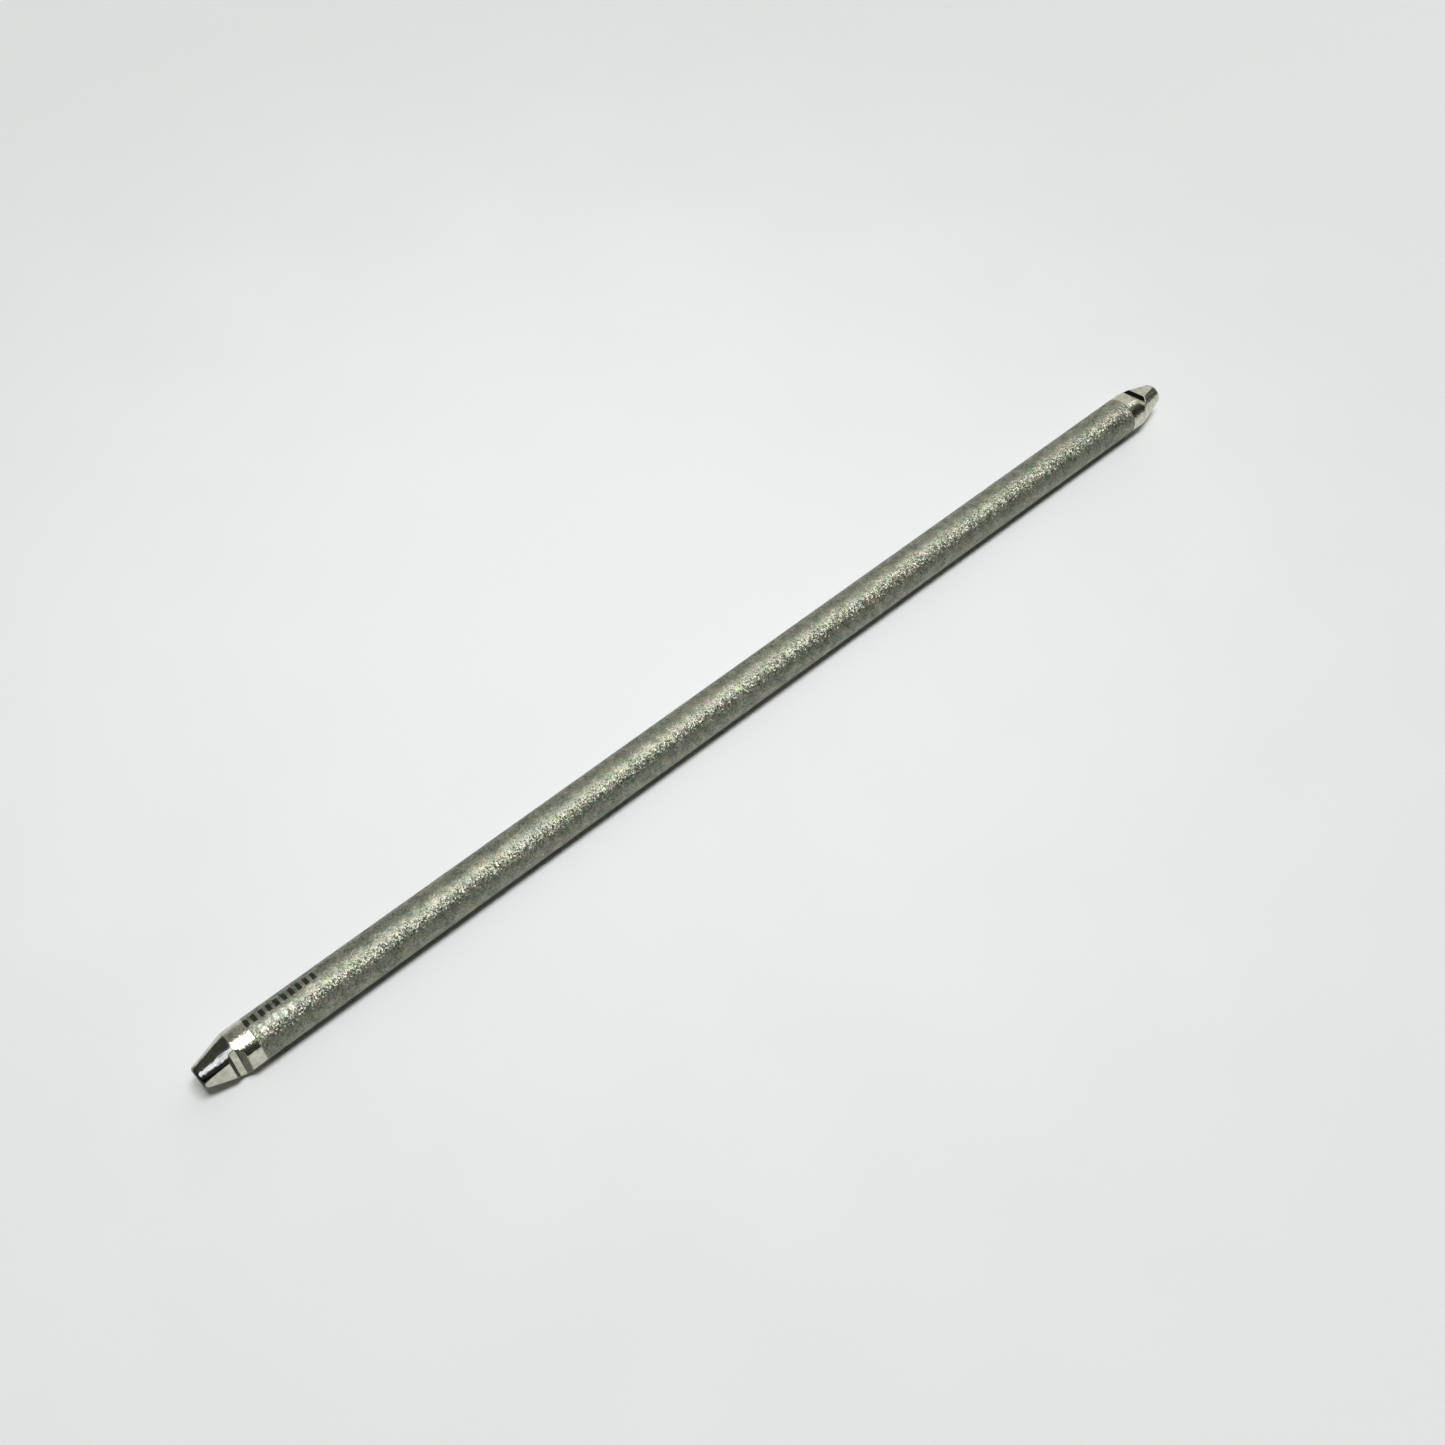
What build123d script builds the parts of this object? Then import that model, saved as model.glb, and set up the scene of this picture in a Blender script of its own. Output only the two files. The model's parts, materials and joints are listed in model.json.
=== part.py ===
"""Surgical fixation rod: a grit blasted bar with a bright, notched tip pressed into each end.

Millimetres. The rod's axis is X, +Z is up and the origin is the rod's centre. The -X tip is the one beside the
etched marks. Each tip is drawn in its own frame first: nose at the origin, bar towards +X, notch facing +Z.
"""

from build123d import *
import os

# Overall size
ROD_DIAMETER = 5.5
ROD_LENGTH = 160.0
ROD_RADIUS = ROD_DIAMETER / 2

# Nose: a blunt cone that grows to the bar's full diameter
TIP_LENGTH = 7.1  # nose to the edge of the blasted surface
NOSE_RADIUS = 1.42
NOSE_ROUNDING = 0.35
CONE_LENGTH = 4.6

# Notch: heights are distances from the rod's axis, stations are distances from the nose
FACET_HEIGHT_AT_NOSE = 1.43
FACET_HEIGHT_AT_SHOULDER = 2.02
SHOULDER_STATION = 3.5
FLOOR_HEIGHT = 1.54
FLOOR_START = 3.9
FLOOR_END = 4.63
FLOOR_CORNER_RADIUS = 0.12
RAMP_BEND_STATION = 5.3  # the ramp ends here, in a small step up to the collar's flat
RAMP_BEND_HEIGHT = 2.14
RAMP_BEND_RADIUS = 0.3
COLLAR_FLAT_HEIGHT = 2.55
COLLAR_FLAT_START = 5.36
EDGE_BREAK = 0.04

# How far round the rod each notch faces: 0 is -Y, 90 is straight up
MARKED_NOTCH_ANGLE = 12.5
NOTCH_TURN = 90.0  # the second notch is a quarter turn on from the first

# Spigot that holds each tip in the bar
SPIGOT_DIAMETER = 3.0
SPIGOT_LENGTH = 6.0
SPIGOT_CHAMFER = 0.3
SOCKET_END_GAP = 0.5

CUT_MARGIN = 1.0  # how far a cutter reaches past the metal


def facet_height(station):
    """Height of the nose's sloping facet above the axis."""
    rise = (FACET_HEIGHT_AT_SHOULDER - FACET_HEIGHT_AT_NOSE) / SHOULDER_STATION
    return FACET_HEIGHT_AT_NOSE + rise * station


def turned_tip():
    """Cone, collar and spigot as one turned solid, before the notch is cut."""
    spigot_radius = SPIGOT_DIAMETER / 2
    spigot_end = TIP_LENGTH + SPIGOT_LENGTH
    outline = FilletPolyline(
        (0, 0),
        (0, NOSE_RADIUS),
        (CONE_LENGTH, ROD_RADIUS),
        (TIP_LENGTH, ROD_RADIUS),
        (TIP_LENGTH, spigot_radius),
        (spigot_end - SPIGOT_CHAMFER, spigot_radius),
        (spigot_end, spigot_radius - SPIGOT_CHAMFER),
        (spigot_end, 0),
        radius=[0, NOSE_ROUNDING, 0, 0, 0, 0, 0, 0],
        close=True,
    )
    return revolve(make_face(outline.edges()), Axis.X)


def notch_cutter():
    """Everything above the facet, notch floor, ramp and collar flat, as a bar across the tip."""
    above = ROD_RADIUS + CUT_MARGIN
    outline = FilletPolyline(
        (-CUT_MARGIN, facet_height(-CUT_MARGIN)),
        (SHOULDER_STATION, FACET_HEIGHT_AT_SHOULDER),
        (FLOOR_START, FLOOR_HEIGHT),
        (FLOOR_END, FLOOR_HEIGHT),
        (RAMP_BEND_STATION, RAMP_BEND_HEIGHT),
        (COLLAR_FLAT_START, COLLAR_FLAT_HEIGHT),
        (TIP_LENGTH + CUT_MARGIN, COLLAR_FLAT_HEIGHT),
        (TIP_LENGTH + CUT_MARGIN, above),
        (-CUT_MARGIN, above),
        radius=[0, EDGE_BREAK, FLOOR_CORNER_RADIUS, FLOOR_CORNER_RADIUS, RAMP_BEND_RADIUS, EDGE_BREAK, 0, 0, 0],
        close=True,
    )
    profile = Plane.XZ * make_face(outline.edges())
    return extrude(profile, above, both=True)


def notched_tip():
    """One bright tip in its own frame."""
    return turned_tip() - notch_cutter()


def rod_body():
    """The blasted bar, with a blind socket in each end for a tip's spigot."""
    body_length = ROD_LENGTH - 2 * TIP_LENGTH
    body = Rot(0, 90, 0) * Cylinder(ROD_RADIUS, body_length)
    socket_depth = SPIGOT_LENGTH + SOCKET_END_GAP
    socket = Rot(0, 90, 0) * Cylinder(SPIGOT_DIAMETER / 2, socket_depth)
    for side in (-1, 1):
        body -= Pos(side * (body_length - socket_depth) / 2, 0, 0) * socket
    return body


def roll(angle):
    """Turn about the rod's axis that takes a notch from +Z to its own angle."""
    return Rot(90 - angle, 0, 0)


tip = notched_tip()
parts = {
    "rod_body": rod_body(),
    "marked_end_tip": Pos(-ROD_LENGTH / 2, 0, 0) * roll(MARKED_NOTCH_ANGLE) * tip,
    "plain_end_tip": Pos(ROD_LENGTH / 2, 0, 0) * roll(MARKED_NOTCH_ANGLE + NOTCH_TURN) * Rot(0, 0, 180) * tip,
}

os.makedirs("parts", exist_ok=True)
for name, shape in parts.items():
    export_step(shape, f"parts/{name}.step")
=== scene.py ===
"""Looks of the notched-end surgical rod: a grit blasted bar with a bright, notched tip at each end.

Metres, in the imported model's frame: the rod's axis is X, the tip beside the etched marks is at -X, and +Z
is up.
"""

import json
import math

import bpy
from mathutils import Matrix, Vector, noise


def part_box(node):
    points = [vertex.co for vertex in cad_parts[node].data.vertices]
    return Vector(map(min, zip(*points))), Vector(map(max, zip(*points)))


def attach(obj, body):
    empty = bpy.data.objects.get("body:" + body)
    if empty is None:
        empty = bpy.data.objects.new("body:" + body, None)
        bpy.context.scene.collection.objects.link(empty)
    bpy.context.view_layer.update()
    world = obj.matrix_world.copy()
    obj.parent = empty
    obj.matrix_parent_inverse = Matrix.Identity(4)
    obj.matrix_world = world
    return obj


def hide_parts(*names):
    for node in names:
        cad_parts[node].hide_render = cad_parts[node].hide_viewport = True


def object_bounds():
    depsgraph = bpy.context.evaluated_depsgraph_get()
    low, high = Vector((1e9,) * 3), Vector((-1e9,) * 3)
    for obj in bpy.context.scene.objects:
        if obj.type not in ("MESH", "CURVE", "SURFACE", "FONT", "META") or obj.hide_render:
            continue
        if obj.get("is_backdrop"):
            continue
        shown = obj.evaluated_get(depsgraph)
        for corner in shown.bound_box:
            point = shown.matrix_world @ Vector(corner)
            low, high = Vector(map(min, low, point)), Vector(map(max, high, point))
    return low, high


MM = 0.001


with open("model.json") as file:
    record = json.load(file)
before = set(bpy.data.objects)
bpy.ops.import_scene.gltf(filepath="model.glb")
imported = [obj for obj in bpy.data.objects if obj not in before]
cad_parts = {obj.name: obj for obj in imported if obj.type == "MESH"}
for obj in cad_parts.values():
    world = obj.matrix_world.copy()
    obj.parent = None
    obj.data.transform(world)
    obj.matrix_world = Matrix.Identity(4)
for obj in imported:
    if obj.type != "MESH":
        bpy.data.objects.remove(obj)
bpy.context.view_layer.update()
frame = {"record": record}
ROOT = "root"
BAR_LOW, BAR_HIGH = (Vector(corner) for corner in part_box("rod_body"))
ROD_LOW, ROD_HIGH = (Vector(corner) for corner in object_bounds())
ROD_RADIUS = (BAR_HIGH.z - BAR_LOW.z) / 2
FLOOR_Z = ROD_LOW.z


# ---------------------------------------------------------------- node graphs


MIX_A, MIX_B, MIX_RESULT = 6, 7, 2  # a Mix node's colour sockets share their names with others
GRAINS_PER_MM = 7.0  # on every metal surface


class Graph:
    """Short names for the nodes that the materials, the floor and the world use."""

    def __init__(self, tree):
        self.tree = tree
        tree.nodes.clear()

    def put(self, socket, value):
        """Links another node's output to a socket, or sets the socket to a plain value."""
        if isinstance(value, bpy.types.NodeSocket):
            self.tree.links.new(value, socket)
        elif value is not None:
            socket.default_value = value

    def node(self, kind, inputs=(), **settings):
        made = self.tree.nodes.new(kind)
        for name, value in settings.items():
            setattr(made, name, value)
        for name, value in dict(inputs).items():
            self.put(made.inputs[name], value)
        return made

    def math(self, operation, a, b=None, c=None, clamp=False):
        made = self.node("ShaderNodeMath", operation=operation, use_clamp=clamp)
        for socket, value in zip(made.inputs, (a, b, c)):
            self.put(socket, value)
        return made.outputs[0]

    def vector(self, operation, a, b=None, c=None, scale=None):
        made = self.node("ShaderNodeVectorMath", operation=operation)
        for socket, value in zip(made.inputs, (a, b, c)):
            self.put(socket, value)
        if scale is not None:
            self.put(made.inputs["Scale"], scale)
        return made.outputs["Value" if operation in ("DOT_PRODUCT", "LENGTH") else "Vector"]

    def step(self, value, low, high):
        """0 below low, 1 above high, smooth between. low may be the larger one."""
        made = self.node(
            "ShaderNodeMapRange",
            {"Value": value, "From Min": low, "From Max": high},
            interpolation_type="SMOOTHSTEP",
        )
        return made.outputs["Result"]

    def blend(self, factor, a, b):
        """Colour a where factor is 0, colour b where it is 1."""
        made = self.node("ShaderNodeMix", data_type="RGBA")
        self.put(made.inputs["Factor"], factor)
        self.put(made.inputs[MIX_A], a)
        self.put(made.inputs[MIX_B], b)
        return made.outputs[MIX_RESULT]

    def noise(self, vector, scale, detail=2.0, roughness=0.5):
        inputs = {"Vector": vector, "Scale": scale, "Detail": detail, "Roughness": roughness}
        return self.node("ShaderNodeTexNoise", inputs).outputs["Fac"]

    def millimetres(self):
        """Object coordinates in millimetres."""
        return self.vector("SCALE", self.node("ShaderNodeTexCoord").outputs["Object"], scale=1.0 / MM)

    def x_of(self, vector):
        """The vector's X component."""
        return self.node("ShaderNodeSeparateXYZ", {"Vector": vector}).outputs["X"]

    def grains(self, position):
        """A random colour for each grain of the metal's surface."""
        cells = self.node("ShaderNodeTexVoronoi", {"Vector": position, "Scale": GRAINS_PER_MM})
        return cells.outputs["Color"]

    def tilted_normal(self, colour, amount):
        """The surface's normal, tilted by a random colour so that each grain is a small facet."""
        tilt = self.vector("SCALE", self.vector("SUBTRACT", colour, (0.5, 0.5, 0.5)), scale=amount)
        normal = self.node("ShaderNodeNewGeometry").outputs["Normal"]
        return self.vector("NORMALIZE", self.vector("ADD", normal, tilt))


def new_material(name):
    material = bpy.data.materials.new(name)
    material.use_nodes = True
    return material, Graph(material.node_tree)


def finish_material(graph, inputs):
    """Puts a Principled shader with these inputs at the end of the graph."""
    shader = graph.node("ShaderNodeBsdfPrincipled", inputs)
    output = graph.node("ShaderNodeOutputMaterial")
    graph.put(output.inputs["Surface"], shader.outputs["BSDF"])


# ---------------------------------------------------------------- etched marks

# A row of dark ticks and a shorter, light row below it, in millimetres. Angles are degrees from -Y.
MARK_START = BAR_LOW.x / MM - 0.22  # so that the first tick starts at the edge of the bar
TICK_PITCH = 0.965
TICK_WIDTH = 0.48
TICK_SIDE_BLUR = 0.06  # as a part of the pitch
TICK_END_BLUR = 0.05
DARK_TICKS = {"first": 0, "count": 10, "angle": 106.0, "height": 1.15, "strength": 0.92}
LIGHT_TICKS = {"first": 1, "count": 5, "angle": 72.0, "height": 0.85, "strength": 0.22}


def tick_mask(graph, position, row):
    """The row's strength on one row of etched ticks, 0 elsewhere."""
    axes = graph.node("ShaderNodeSeparateXYZ", {"Vector": position})
    x, y, z = axes.outputs
    turn = graph.math("ARCTAN2", z, graph.math("MULTIPLY", y, -1.0))
    along = graph.math("DIVIDE", graph.math("SUBTRACT", x, MARK_START), TICK_PITCH)
    off_centre = graph.math("ABSOLUTE", graph.math("SUBTRACT", graph.math("FRACT", along), 0.5))
    half_width = TICK_WIDTH / TICK_PITCH / 2
    across = graph.step(off_centre, half_width + TICK_SIDE_BLUR, half_width)
    arc = graph.math("MULTIPLY", graph.math("SUBTRACT", turn, math.radians(row["angle"])), ROD_RADIUS / MM)
    half_height = row["height"] / 2
    upright = graph.step(graph.math("ABSOLUTE", arc), half_height + TICK_END_BLUR, half_height)
    after_first = graph.math("GREATER_THAN", along, float(row["first"]))
    before_end = graph.math("LESS_THAN", along, float(row["first"] + row["count"]))
    in_row = graph.math("MULTIPLY", graph.math("MULTIPLY", after_first, before_end), upright)
    return graph.math("MULTIPLY", graph.math("MULTIPLY", in_row, across), row["strength"])


# ---------------------------------------------------------------- materials

BLASTED_DARK = (0.05, 0.055, 0.036, 1.0)
BLASTED_LIGHT = (0.42, 0.432, 0.345, 1.0)
DARK_ETCH = (0.02, 0.024, 0.018, 1.0)
LIGHT_ETCH = (0.80, 0.80, 0.76, 1.0)
BRIGHT_DARK = (0.50, 0.49, 0.40, 1.0)
BRIGHT_LIGHT = (0.68, 0.665, 0.56, 1.0)
# painted shade: the colour that dark reflections and shade are painted in on the bright metal
PAINTED_SHADE_COLOUR = (0.035, 0.038, 0.03, 1.0)

# How far the grains tilt the surface
BLAST_TILT = 0.5
COLLAR_TILT = 0.13
CONE_TILT = 0.1
BUMP_STRENGTH = 0.5

# Blasting. A tone of 0 is BLASTED_DARK, and 1 is BLASTED_LIGHT.
PITS_PER_MM = 12.0
PIT_HEIGHT = 0.03  # mm, as the bump sees it
PATCHES_PER_MM = 0.9
PATCH_TONE = 0.8
GRAIN_TONE = 0.6
BASE_TONE = -0.2
TINTS = ((0.9, 0.36), (3.5, 0.2))  # scale and strength of the faint colours over the blasting
BLASTED_ROUGHNESS = 0.36
BLASTED_UNEVENNESS = 0.2
RAGGEDNESS = 0.15  # mm by which the line where the blasting starts wanders, at each end of the bar
BLAST_START = (-0.12, 0.05)  # mm from the bar's end, from none to all

# Bright metal
RINGS_PER_MM = 22.0
RING_WANDER = 0.7
MILLED_LINES_PER_MM = 14.0
MILLED_LINE_WANDER = 1.5
LINE_HEIGHT = 0.012  # mm, as the bump sees it
DENTS_PER_MM = 5.0
DENT_DEPTH = 0.9  # as a part of LINE_HEIGHT
BRIGHT_ROUGHNESS = 0.08
BRIGHT_UNEVENNESS = 0.14
COLLAR_ROUGHER = 0.06
FLAT_ROUGHER = 0.08
CONE_LENGTH = 4.6
COLLAR_START = ROD_HIGH.x / MM - CONE_LENGTH  # mm from the rod's centre
COLLAR_BLUR = 0.1


def blasted_metal():
    """Grit blasted metal: each grain is a small facet with its own tilt, so it sparkles."""
    material, graph = new_material("blasted_metal")
    position = graph.millimetres()
    grains = graph.grains(position)

    from_end = graph.math("SUBTRACT", BAR_HIGH.x / MM, graph.math("ABSOLUTE", graph.x_of(position)))
    ragged = graph.math("MULTIPLY", graph.noise(position, 3.5, detail=3.0), RAGGEDNESS)
    blasted = graph.step(graph.math("SUBTRACT", from_end, ragged), *BLAST_START)

    tilted = graph.tilted_normal(grains, graph.math("MULTIPLY", blasted, BLAST_TILT))
    pits = graph.noise(position, PITS_PER_MM, detail=3.0, roughness=0.65)
    bump = {"Strength": BUMP_STRENGTH, "Distance": PIT_HEIGHT * MM, "Height": pits, "Normal": tilted}
    normal = graph.node("ShaderNodeBump", bump).outputs["Normal"]

    grain = graph.node("ShaderNodeSeparateColor", {"Color": grains}).outputs["Green"]
    patches = graph.noise(position, PATCHES_PER_MM, detail=3.0)
    tone = graph.math("MULTIPLY_ADD", patches, PATCH_TONE, BASE_TONE)
    tone = graph.math("MULTIPLY_ADD", grain, GRAIN_TONE, tone, clamp=True)
    metal = graph.blend(tone, BLASTED_DARK, BLASTED_LIGHT)
    for scale, strength in TINTS:
        speckle = graph.node("ShaderNodeTexNoise", {"Vector": position, "Scale": scale, "Detail": 1.0})
        darkest = (1.0 - strength / 2,) * 3
        tint = graph.vector("MULTIPLY_ADD", speckle.outputs["Color"], (strength,) * 3, darkest)
        metal = graph.vector("MULTIPLY", metal, tint)
    metal = graph.blend(blasted, BRIGHT_LIGHT, metal)
    marked = graph.blend(tick_mask(graph, position, DARK_TICKS), metal, DARK_ETCH)
    colour = graph.blend(tick_mask(graph, position, LIGHT_TICKS), marked, LIGHT_ETCH)

    roughness = graph.math("MULTIPLY_ADD", graph.noise(position, 3.0), BLASTED_UNEVENNESS, BLASTED_ROUGHNESS)
    half_without_blasting = graph.math("MULTIPLY_ADD", blasted, 0.5, 0.5)
    roughness = graph.math("MULTIPLY", roughness, half_without_blasting)
    finish_material(graph, {"Base Color": colour, "Metallic": 0.9, "Roughness": roughness, "Normal": normal})
    return material


def bright_metal():
    """Turned metal: fine rings round the rod, milled lines on the flats, with painted shade and dark
    reflections where the mesh says so.
    """
    material, graph = new_material("bright_metal")
    position = graph.millimetres()
    flat = graph.node("ShaderNodeAttribute", attribute_name="flat").outputs["Fac"]
    # the shade attribute carries painted shade and painted dark reflections
    shade = graph.node("ShaderNodeAttribute", attribute_name="shade").outputs["Fac"]
    x = graph.x_of(position)

    from_axis = graph.vector("LENGTH", graph.vector("MULTIPLY", position, (0.0, 1.0, 1.0)))
    along = graph.node("ShaderNodeCombineXYZ", {"X": graph.math("ADD", x, from_axis)}).outputs["Vector"]
    wander = graph.vector("SCALE", position, scale=RING_WANDER)
    rings = graph.noise(graph.vector("MULTIPLY_ADD", along, (RINGS_PER_MM, 0.0, 0.0), wander), 1.0)
    milled_scale = (MILLED_LINES_PER_MM, MILLED_LINE_WANDER, MILLED_LINE_WANDER)
    milled = graph.noise(graph.vector("MULTIPLY", position, milled_scale), 1.0)
    lines = graph.math("MULTIPLY_ADD", flat, graph.math("SUBTRACT", milled, rings), rings)
    dents = graph.math("MULTIPLY_ADD", graph.noise(position, DENTS_PER_MM, detail=3.0), DENT_DEPTH, lines)

    collar = graph.step(graph.math("ABSOLUTE", x), COLLAR_START + COLLAR_BLUR, COLLAR_START - COLLAR_BLUR)
    collar = graph.math("MULTIPLY", collar, graph.math("SUBTRACT", 1.0, flat))
    amount = graph.math("MULTIPLY_ADD", collar, COLLAR_TILT - CONE_TILT, CONE_TILT)
    tilted = graph.tilted_normal(graph.grains(position), amount)
    bump = {"Strength": BUMP_STRENGTH, "Distance": LINE_HEIGHT * MM, "Height": dents, "Normal": tilted}
    normal = graph.node("ShaderNodeBump", bump).outputs["Normal"]

    tone = graph.step(graph.noise(position, 1.4, detail=3.0), 0.35, 0.7)
    # painted shade: darkens the metal towards the painted shade colour where the mesh says so
    colour = graph.blend(shade, graph.blend(tone, BRIGHT_DARK, BRIGHT_LIGHT), PAINTED_SHADE_COLOUR)
    roughness = graph.math("MULTIPLY_ADD", graph.noise(position, 2.2), BRIGHT_UNEVENNESS, BRIGHT_ROUGHNESS)
    for place, rougher in ((collar, COLLAR_ROUGHER), (flat, FLAT_ROUGHER)):
        roughness = graph.math("MULTIPLY_ADD", place, rougher, roughness)
    finish_material(graph, {"Base Color": colour, "Metallic": 1.0, "Roughness": roughness, "Normal": normal})
    return material


# ---------------------------------------------------------------- turned pieces

SPIGOT_RADIUS = 1.5 * MM
SPIGOT_LENGTH = 6.0 * MM
SPIGOT_CHAMFER = 0.3 * MM
SHARP_ANGLE = math.radians(50.0)  # edges sharper than this aren't shaded smooth


def spread(low, high, step):
    """Evenly spaced values from low to high, about a step apart."""
    count = max(1, round((high - low) / step))
    return [low + (high - low) * i / count for i in range(count + 1)]


def ring(x, radii, angles):
    """Points round the rod's axis, at one x. Angles start at +Y."""
    return [(x, radius * math.cos(angle), radius * math.sin(angle)) for radius, angle in zip(radii, angles)]


def round_ring(x, radius, angles):
    return ring(x, [radius] * len(angles), angles)


def grid_piece(name, rings):
    """A closed mesh through rings of points, each ring a list of the same length, capped at both ends."""
    around = len(rings[0])
    points = [point for row in rings for point in row]
    faces = []
    for i in range(len(rings) - 1):
        row = i * around
        for j in range(around):
            k = (j + 1) % around
            faces.append((row + j, row + k, row + around + k, row + around + j))
    for first, order in ((0, (1, 0)), ((len(rings) - 1) * around, (0, 1))):
        x = points[first][0]
        points.append((x, 0.0, 0.0))
        for j in range(around):
            edge = (first + j, first + (j + 1) % around)
            faces.append((edge[order[0]], edge[order[1]], len(points) - 1))
    mesh = bpy.data.meshes.new(name)
    mesh.from_pydata(points, [], faces)
    mesh.update()
    mesh.shade_smooth()
    mesh.set_sharp_from_angle(angle=SHARP_ANGLE)
    piece = bpy.data.objects.new(name, mesh)
    bpy.context.collection.objects.link(piece)
    return piece


# ---------------------------------------------------------------- blasted bar

BAR_STEP = 0.15 * MM
SOCKET_GAP = 0.5 * MM
GRIT_DEPTH = 0.022 * MM
COARSE_PITS_PER_MM = 1.8
FINE_PITS_PER_MM = 4.6
COARSE_PITS = 0.35
FINE_PITS = 0.65
RIM_ROUND = 0.04 * MM


def pit_depth(x, angle):
    """How far the blasting has dug into the bar at one place."""
    point = Vector((x, ROD_RADIUS * math.cos(angle), ROD_RADIUS * math.sin(angle))) / MM
    coarse = noise.noise(point * COARSE_PITS_PER_MM)
    fine = noise.noise(point * FINE_PITS_PER_MM)
    depth = 0.5 + COARSE_PITS * coarse + FINE_PITS * fine
    return GRIT_DEPTH * min(1.0, max(0.0, depth))


def blasted_bar():
    """The bar as one closed mesh: a pitted wall, a broken rim and a blind socket at each end."""
    half = BAR_HIGH.x
    angles = spread(0.0, 2 * math.pi, BAR_STEP / ROD_RADIUS)[:-1]
    socket_and_face = (
        (half - SPIGOT_LENGTH - SOCKET_GAP, SPIGOT_RADIUS),
        (half, SPIGOT_RADIUS),
        (half, ROD_RADIUS - RIM_ROUND),
    )
    rings = [round_ring(-x, radius, angles) for x, radius in socket_and_face]
    for x in spread(-half + RIM_ROUND, half - RIM_ROUND, BAR_STEP):
        rings.append(ring(x, [ROD_RADIUS - pit_depth(x, angle) for angle in angles], angles))
    rings += [round_ring(x, radius, angles) for x, radius in reversed(socket_and_face)]
    return grid_piece("blasted_bar", rings)


# ---------------------------------------------------------------- notched tips

# Stations are millimetres from the nose, heights are millimetres from the rod's axis.
NOSE_RADIUS = 1.42
NOSE_ROUNDING = 0.35
TIP_LENGTH = (ROD_HIGH.x - BAR_HIGH.x) / MM
SHOULDER = 3.5
FLOOR_START = 3.9
FLOOR_END = 4.63
RAMP_END = 5.3
COLLAR_FLAT_START = 5.36
FACET_HEIGHT_AT_NOSE = 1.43
FACET_HEIGHT_AT_SHOULDER = 2.02
FLOOR_HEIGHT = 1.54
RAMP_END_HEIGHT = 2.14
COLLAR_FLAT_HEIGHT = 2.55
NOTCH_PROFILE = (
    (0.0, FACET_HEIGHT_AT_NOSE),
    (SHOULDER, FACET_HEIGHT_AT_SHOULDER),
    (FLOOR_START, FLOOR_HEIGHT),
    (FLOOR_END, FLOOR_HEIGHT),
    (RAMP_END, RAMP_END_HEIGHT),
    (COLLAR_FLAT_START, COLLAR_FLAT_HEIGHT),
    (TIP_LENGTH, COLLAR_FLAT_HEIGHT),
)
EDGE_ROUND = 0.02
CORNER_ROUND = 0.06
CORNER_SAMPLES = 9
FACE_MARGIN = 0.06  # from the edge of the nose's flat face to the ring of points inside it

# Spacing of the mesh
TIP_STEP = 0.04
FINE_TURN = TIP_STEP / 2.2
COARSE_TURN = 3 * FINE_TURN
RIM_TURN = 0.13
FINE_ANGLE = math.radians(66.0)  # the fine side reaches this far either way from the notch's middle
LEAST_COSINE = 0.2  # a cut is out of reach well before the angle with this cosine

# How dark some places are painted, 0 is bright metal and 1 is the painted shade colour: painted dark
# reflections on the nose's rim, the ramp and the cone beside the facet, and painted shade on the notch's
# wall
RIM_SHADE = 0.95
RAMP_SHADE = 0.83
WALL_SHADE = 0.91
# painted dark reflection: how dark the cone beside the facet is painted
MARKED_CONE_SHADE = (0.95, 0.9)  # on the cone beside the facet, at the nose and at the shoulder
PLAIN_CONE_SHADE = (0.6, 0.88)
CONE_SHADE_ANGLE = math.radians(34.0)  # from the middle of the facet to its corner at the shoulder


def turned_radius(station):
    """Radius of the cone or collar, with the nose's rim rounded."""
    radius = NOSE_RADIUS + (ROD_RADIUS / MM - NOSE_RADIUS) * min(1.0, station / CONE_LENGTH)
    if station < NOSE_ROUNDING:
        short = NOSE_ROUNDING - station
        radius -= NOSE_ROUNDING - math.sqrt(NOSE_ROUNDING**2 - short**2)
    return radius


def profile_height(station):
    """Height of the facet, notch floor, ramp or collar flat, with sharp corners."""
    for (x0, h0), (x1, h1) in zip(NOTCH_PROFILE, NOTCH_PROFILE[1:]):
        if station <= x1:
            return h0 + (h1 - h0) * (station - x0) / (x1 - x0)
    return NOTCH_PROFILE[-1][1]


def cut_height(station):
    """The profile's height with its corners rounded, by averaging over a short length."""
    total = 0.0
    for i in range(CORNER_SAMPLES):
        total += profile_height(station + CORNER_ROUND * (2 * i / (CORNER_SAMPLES - 1) - 1))
    return total / CORNER_SAMPLES


def rounded_min(a, b, rounding):
    """The smaller of two lengths, eased where they are nearly equal so that the edge is rounded."""
    overlap = max(0.0, 1.0 - abs(a - b) / (4 * rounding))
    return min(a, b) - rounding * overlap * overlap


def painted_shade_at(station, turn, outer, chord, cone_shade):
    """How much painted shade one place gets. outer is its turned radius, and chord the distance from the
    axis to the cut.
    """
    if SHOULDER < station < FLOOR_START + TIP_STEP / 2 and chord < outer + EDGE_ROUND:
        return WALL_SHADE
    is_cut = chord < outer
    if is_cut and FLOOR_END < station < RAMP_END:
        return RAMP_SHADE
    rim = RIM_SHADE * min(1.0, max(0.0, 2.0 - 2.0 * station / NOSE_ROUNDING))
    if is_cut or station >= SHOULDER or abs(turn) >= CONE_SHADE_ANGLE:
        return rim
    at_nose, at_shoulder = cone_shade
    return max(rim, at_nose + (at_shoulder - at_nose) * station / SHOULDER)


def tip_stations():
    """Stations along the tip, closer together over the nose's rim."""
    rim = [NOSE_ROUNDING * (1 - math.cos(a)) for a in spread(0.0, math.pi / 2, RIM_TURN)]
    return rim + spread(NOSE_ROUNDING, TIP_LENGTH, TIP_STEP)[1:]


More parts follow.
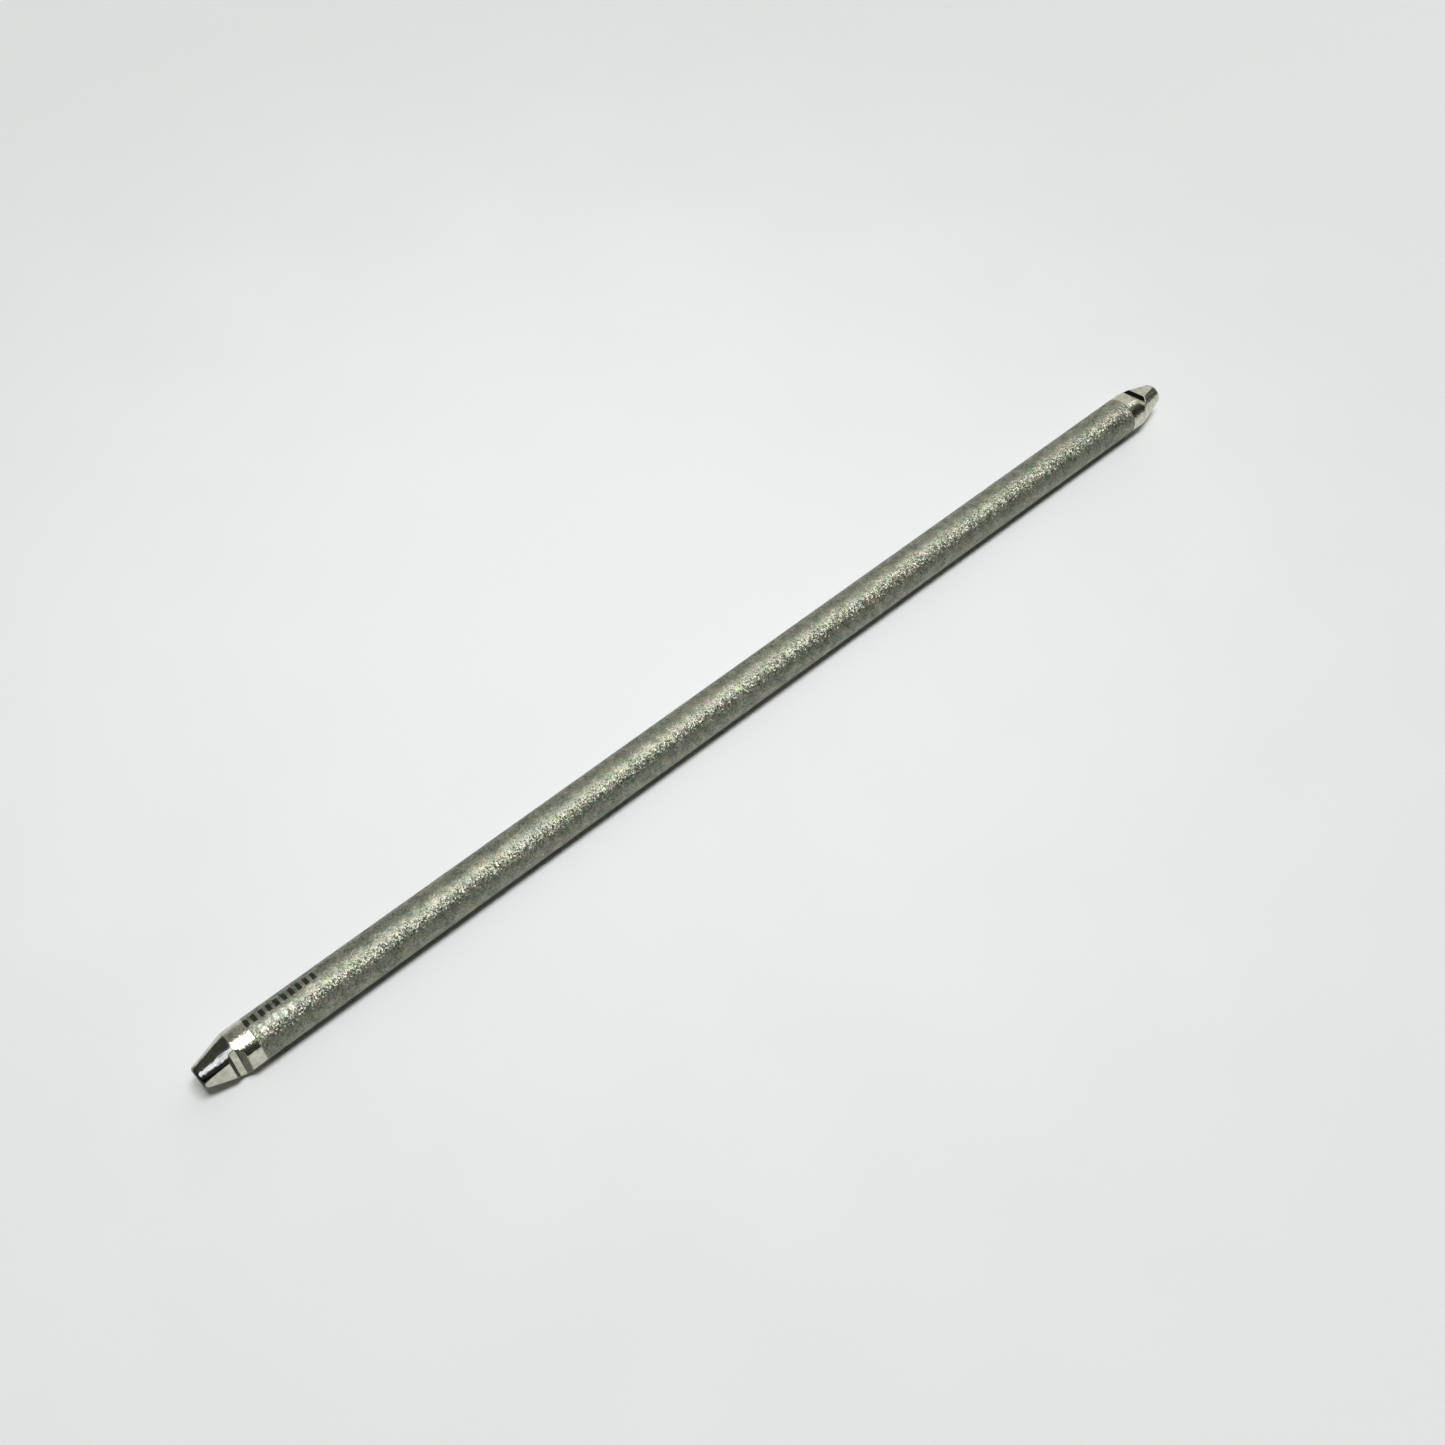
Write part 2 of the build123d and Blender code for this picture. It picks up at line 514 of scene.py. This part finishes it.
def tip_turns():
    """Angles from the middle of the notch, closer together on the notch's side."""
    fine = spread(-FINE_ANGLE, FINE_ANGLE, FINE_TURN)
    return fine + spread(FINE_ANGLE, 2 * math.pi - FINE_ANGLE, COARSE_TURN)[1:-1]


def notched_tip(name, side, facing, cone_shade):
    """One bright tip with its spigot.

    side is -1 or 1 along X, facing is the angle of its notch round the rod from -Y, and cone_shade is how
    dark the cone beside the facet is painted, a painted dark reflection, at the nose and at the shoulder.
    """
    turns = [-side * turn for turn in tip_turns()]
    angles = [math.pi - facing - turn for turn in turns]
    rings = [round_ring(side * ROD_HIGH.x, (turned_radius(0.0) - FACE_MARGIN) * MM, angles)]
    flat = [0.0] * len(turns)
    shade = [0.0] * len(turns)
    for station in tip_stations():
        outer = turned_radius(station)
        height = cut_height(station)
        chords = [height / max(math.cos(turn), LEAST_COSINE) for turn in turns]
        radii = [rounded_min(outer, chord, EDGE_ROUND) * MM for chord in chords]
        rings.append(ring(side * (ROD_HIGH.x - station * MM), radii, angles))
        flat += [float(chord < outer) for chord in chords]
        shade += [painted_shade_at(station, turn, outer, chord, cone_shade) for turn, chord in zip(turns, chords)]
    spigot_start = BAR_HIGH.x
    spigot_end = spigot_start - SPIGOT_LENGTH
    spigot = (
        (spigot_start, SPIGOT_RADIUS),
        (spigot_end + SPIGOT_CHAMFER, SPIGOT_RADIUS),
        (spigot_end, SPIGOT_RADIUS - SPIGOT_CHAMFER),
    )
    rings += [round_ring(side * x, radius, angles) for x, radius in spigot]
    piece = grid_piece(name, rings)
    unshaded = [0.0] * (len(piece.data.vertices) - len(flat))
    for attribute, values in (("flat", flat), ("shade", shade)):
        layer = piece.data.attributes.new(attribute, "FLOAT", "POINT")
        layer.data.foreach_set("value", values + unshaded)
    return piece


# ---------------------------------------------------------------- studio

CAMERA_TARGET = Vector((-5.50, -2.34, 0.0)) * MM
CAMERA_DISTANCE = 218.5 * MM
CAMERA_ELEVATION = math.radians(53.83)
CAMERA_TURN = math.radians(41.93)  # from -Y towards -X
FOCAL_PIXELS = 1752.0
FRAME_PIXELS = 1445.0
SENSOR = 36.0  # mm
CLIP_START = 1 * MM
CLIP_END = 20.0

FLOOR_HALF = 3.0
# painted pool of light: the paper is palest near PALEST_POINT and darker away from it
FLOOR_NEAR = (0.84, 0.858, 0.866, 1.0)
FLOOR_FAR = (0.735, 0.752, 0.748, 1.0)
FLOOR_FADE = (0.3, 2.0)  # distances from near to far, in halves of the rod's length
FLOOR_PATCHES_PER_MM = 0.05
FLOOR_UNEVENNESS = 0.4
PALEST_POINT = (0.0, 30.0, 0.0)  # mm

BACK_LEFT = (0.06, 0.062, 0.06, 1.0)
BACK_RIGHT = (0.76, 0.76, 0.71, 1.0)
HORIZON = (0.70, 0.71, 0.69, 1.0)
DARK_ROOM = (0.024, 0.025, 0.023, 1.0)


def add_camera():
    level = math.cos(CAMERA_ELEVATION)
    up = math.sin(CAMERA_ELEVATION)
    towards = Vector((-level * math.sin(CAMERA_TURN), -level * math.cos(CAMERA_TURN), up))
    data = bpy.data.cameras.new("camera")
    data.sensor_width = SENSOR
    data.lens = SENSOR * FOCAL_PIXELS / FRAME_PIXELS
    data.clip_start = CLIP_START
    data.clip_end = CLIP_END
    camera = bpy.data.objects.new("camera", data)
    camera.location = CAMERA_TARGET + CAMERA_DISTANCE * towards
    camera.rotation_euler = towards.to_track_quat("Z", "Y").to_euler()
    bpy.context.collection.objects.link(camera)
    bpy.context.scene.camera = camera


def add_softbox(name, centre, size, radiance, turn=0.0, colour=(1.0, 1.0, 1.0), lights_floor=False):
    """A rectangular light of a given brightness, facing down. It lights the floor or shows in the metal."""
    data = bpy.data.lights.new(name, "AREA")
    data.shape = "RECTANGLE"
    data.size, data.size_y = size
    data.energy = radiance * math.pi * size[0] * size[1]
    data.color = colour
    light = bpy.data.objects.new(name, data)
    light.location = centre
    light.rotation_euler = (0.0, 0.0, turn)
    light.visible_diffuse = lights_floor
    light.visible_glossy = not lights_floor
    bpy.context.collection.objects.link(light)


def add_floor():
    """Pale paper with a painted pool of light: a little darker away from the rod."""
    mesh = bpy.data.meshes.new("floor")
    corners = ((-1, -1), (1, -1), (1, 1), (-1, 1))
    mesh.from_pydata([(FLOOR_HALF * x, FLOOR_HALF * y, FLOOR_Z) for x, y in corners], [], [(0, 1, 2, 3)])
    floor = bpy.data.objects.new("floor", mesh)
    bpy.context.collection.objects.link(floor)
    material, graph = new_material("floor_paper")
    position = graph.millimetres()
    distance = graph.vector("LENGTH", graph.vector("SUBTRACT", position, PALEST_POINT))
    rod_halves = graph.math("DIVIDE", distance, ROD_HIGH.x / MM)
    patches = graph.noise(position, FLOOR_PATCHES_PER_MM)
    uneven = graph.math("MULTIPLY_ADD", patches, FLOOR_UNEVENNESS, rod_halves)
    colour = graph.blend(graph.step(uneven, *FLOOR_FADE), FLOOR_NEAR, FLOOR_FAR)
    finish_material(graph, {"Base Color": colour, "Roughness": 0.9, "Specular IOR Level": 0.1})
    mesh.materials.append(material)
    floor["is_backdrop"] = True


def add_world():
    """A grey studio: dark in front, where the camera stands, at the back left and low on the right.

    Each step runs over one component of the direction: x is right, y is back and z is up.
    """
    world = bpy.data.worlds.new("studio")
    world.use_nodes = True
    bpy.context.scene.world = world
    graph = Graph(world.node_tree)
    direction = graph.node("ShaderNodeTexCoord").outputs["Generated"]
    x, y, z = graph.node("ShaderNodeSeparateXYZ", {"Vector": direction}).outputs

    behind = graph.blend(graph.step(x, -0.2, 0.6), BACK_LEFT, BACK_RIGHT)
    near_horizon = graph.math("MULTIPLY", graph.step(z, 0.4, 0.0), graph.step(y, 0.0, 0.4))
    near_horizon = graph.math("MULTIPLY", near_horizon, graph.step(x, -0.2, 0.1))
    behind = graph.blend(graph.math("MULTIPLY", near_horizon, 0.5), behind, HORIZON)

    front = graph.step(y, 0.0, -0.45)
    low_right = graph.math("MULTIPLY", graph.step(x, 0.7, 0.88), graph.step(z, 0.5, 0.3))
    low_right = graph.math("MULTIPLY", low_right, graph.step(y, 0.45, 0.1))
    dark = graph.math("MAXIMUM", front, graph.math("MULTIPLY", low_right, 0.9))
    colour = graph.blend(dark, behind, DARK_ROOM)
    background = graph.node("ShaderNodeBackground", {"Color": colour, "Strength": 1.0})
    output = graph.node("ShaderNodeOutputWorld")
    graph.put(output.inputs["Surface"], background.outputs["Background"])


# ---------------------------------------------------------------- scene


def mount_axis(name):
    """Direction that one of the record's mounts faces."""
    return next(tuple(mount["axis"]) for mount in frame["record"]["mounts"] if mount["name"] == name)


def show(piece, node, material):
    """Stands a piece in for a CAD node, with its own finish."""
    piece.data.materials.append(material)
    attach(piece, ROOT)
    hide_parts(node)


show(blasted_bar(), "rod_body", blasted_metal())
bright = bright_metal()
tips = (
    ("marked_end_tip", -1, "marked_tip_flat", MARKED_CONE_SHADE),
    ("plain_end_tip", 1, "plain_tip_flat", PLAIN_CONE_SHADE),
)
for node, side, mount, cone_shade in tips:
    _, y, z = mount_axis(mount)
    show(notched_tip(f"{node}_turned", side, math.atan2(z, -y), cone_shade), node, bright)

add_floor()
add_world()
add_softbox(
    "overhead",
    centre=(0.115, -0.085, 0.6),
    size=(0.53, 0.46),
    radiance=6.4,
    turn=math.radians(-5.0),
)
add_softbox(
    "overhead_left",
    centre=(-0.375, -0.12, 0.6),
    size=(0.45, 0.38),
    radiance=1.55,
    colour=(0.78, 0.82, 1.0),
)
add_softbox(
    "key",
    centre=(0.10, -0.24, 2.0),
    size=(1.2, 0.50),
    radiance=18.7,
    turn=math.radians(-10.0),
    lights_floor=True,
)
add_camera()
bpy.context.scene.view_settings.view_transform = "Standard"
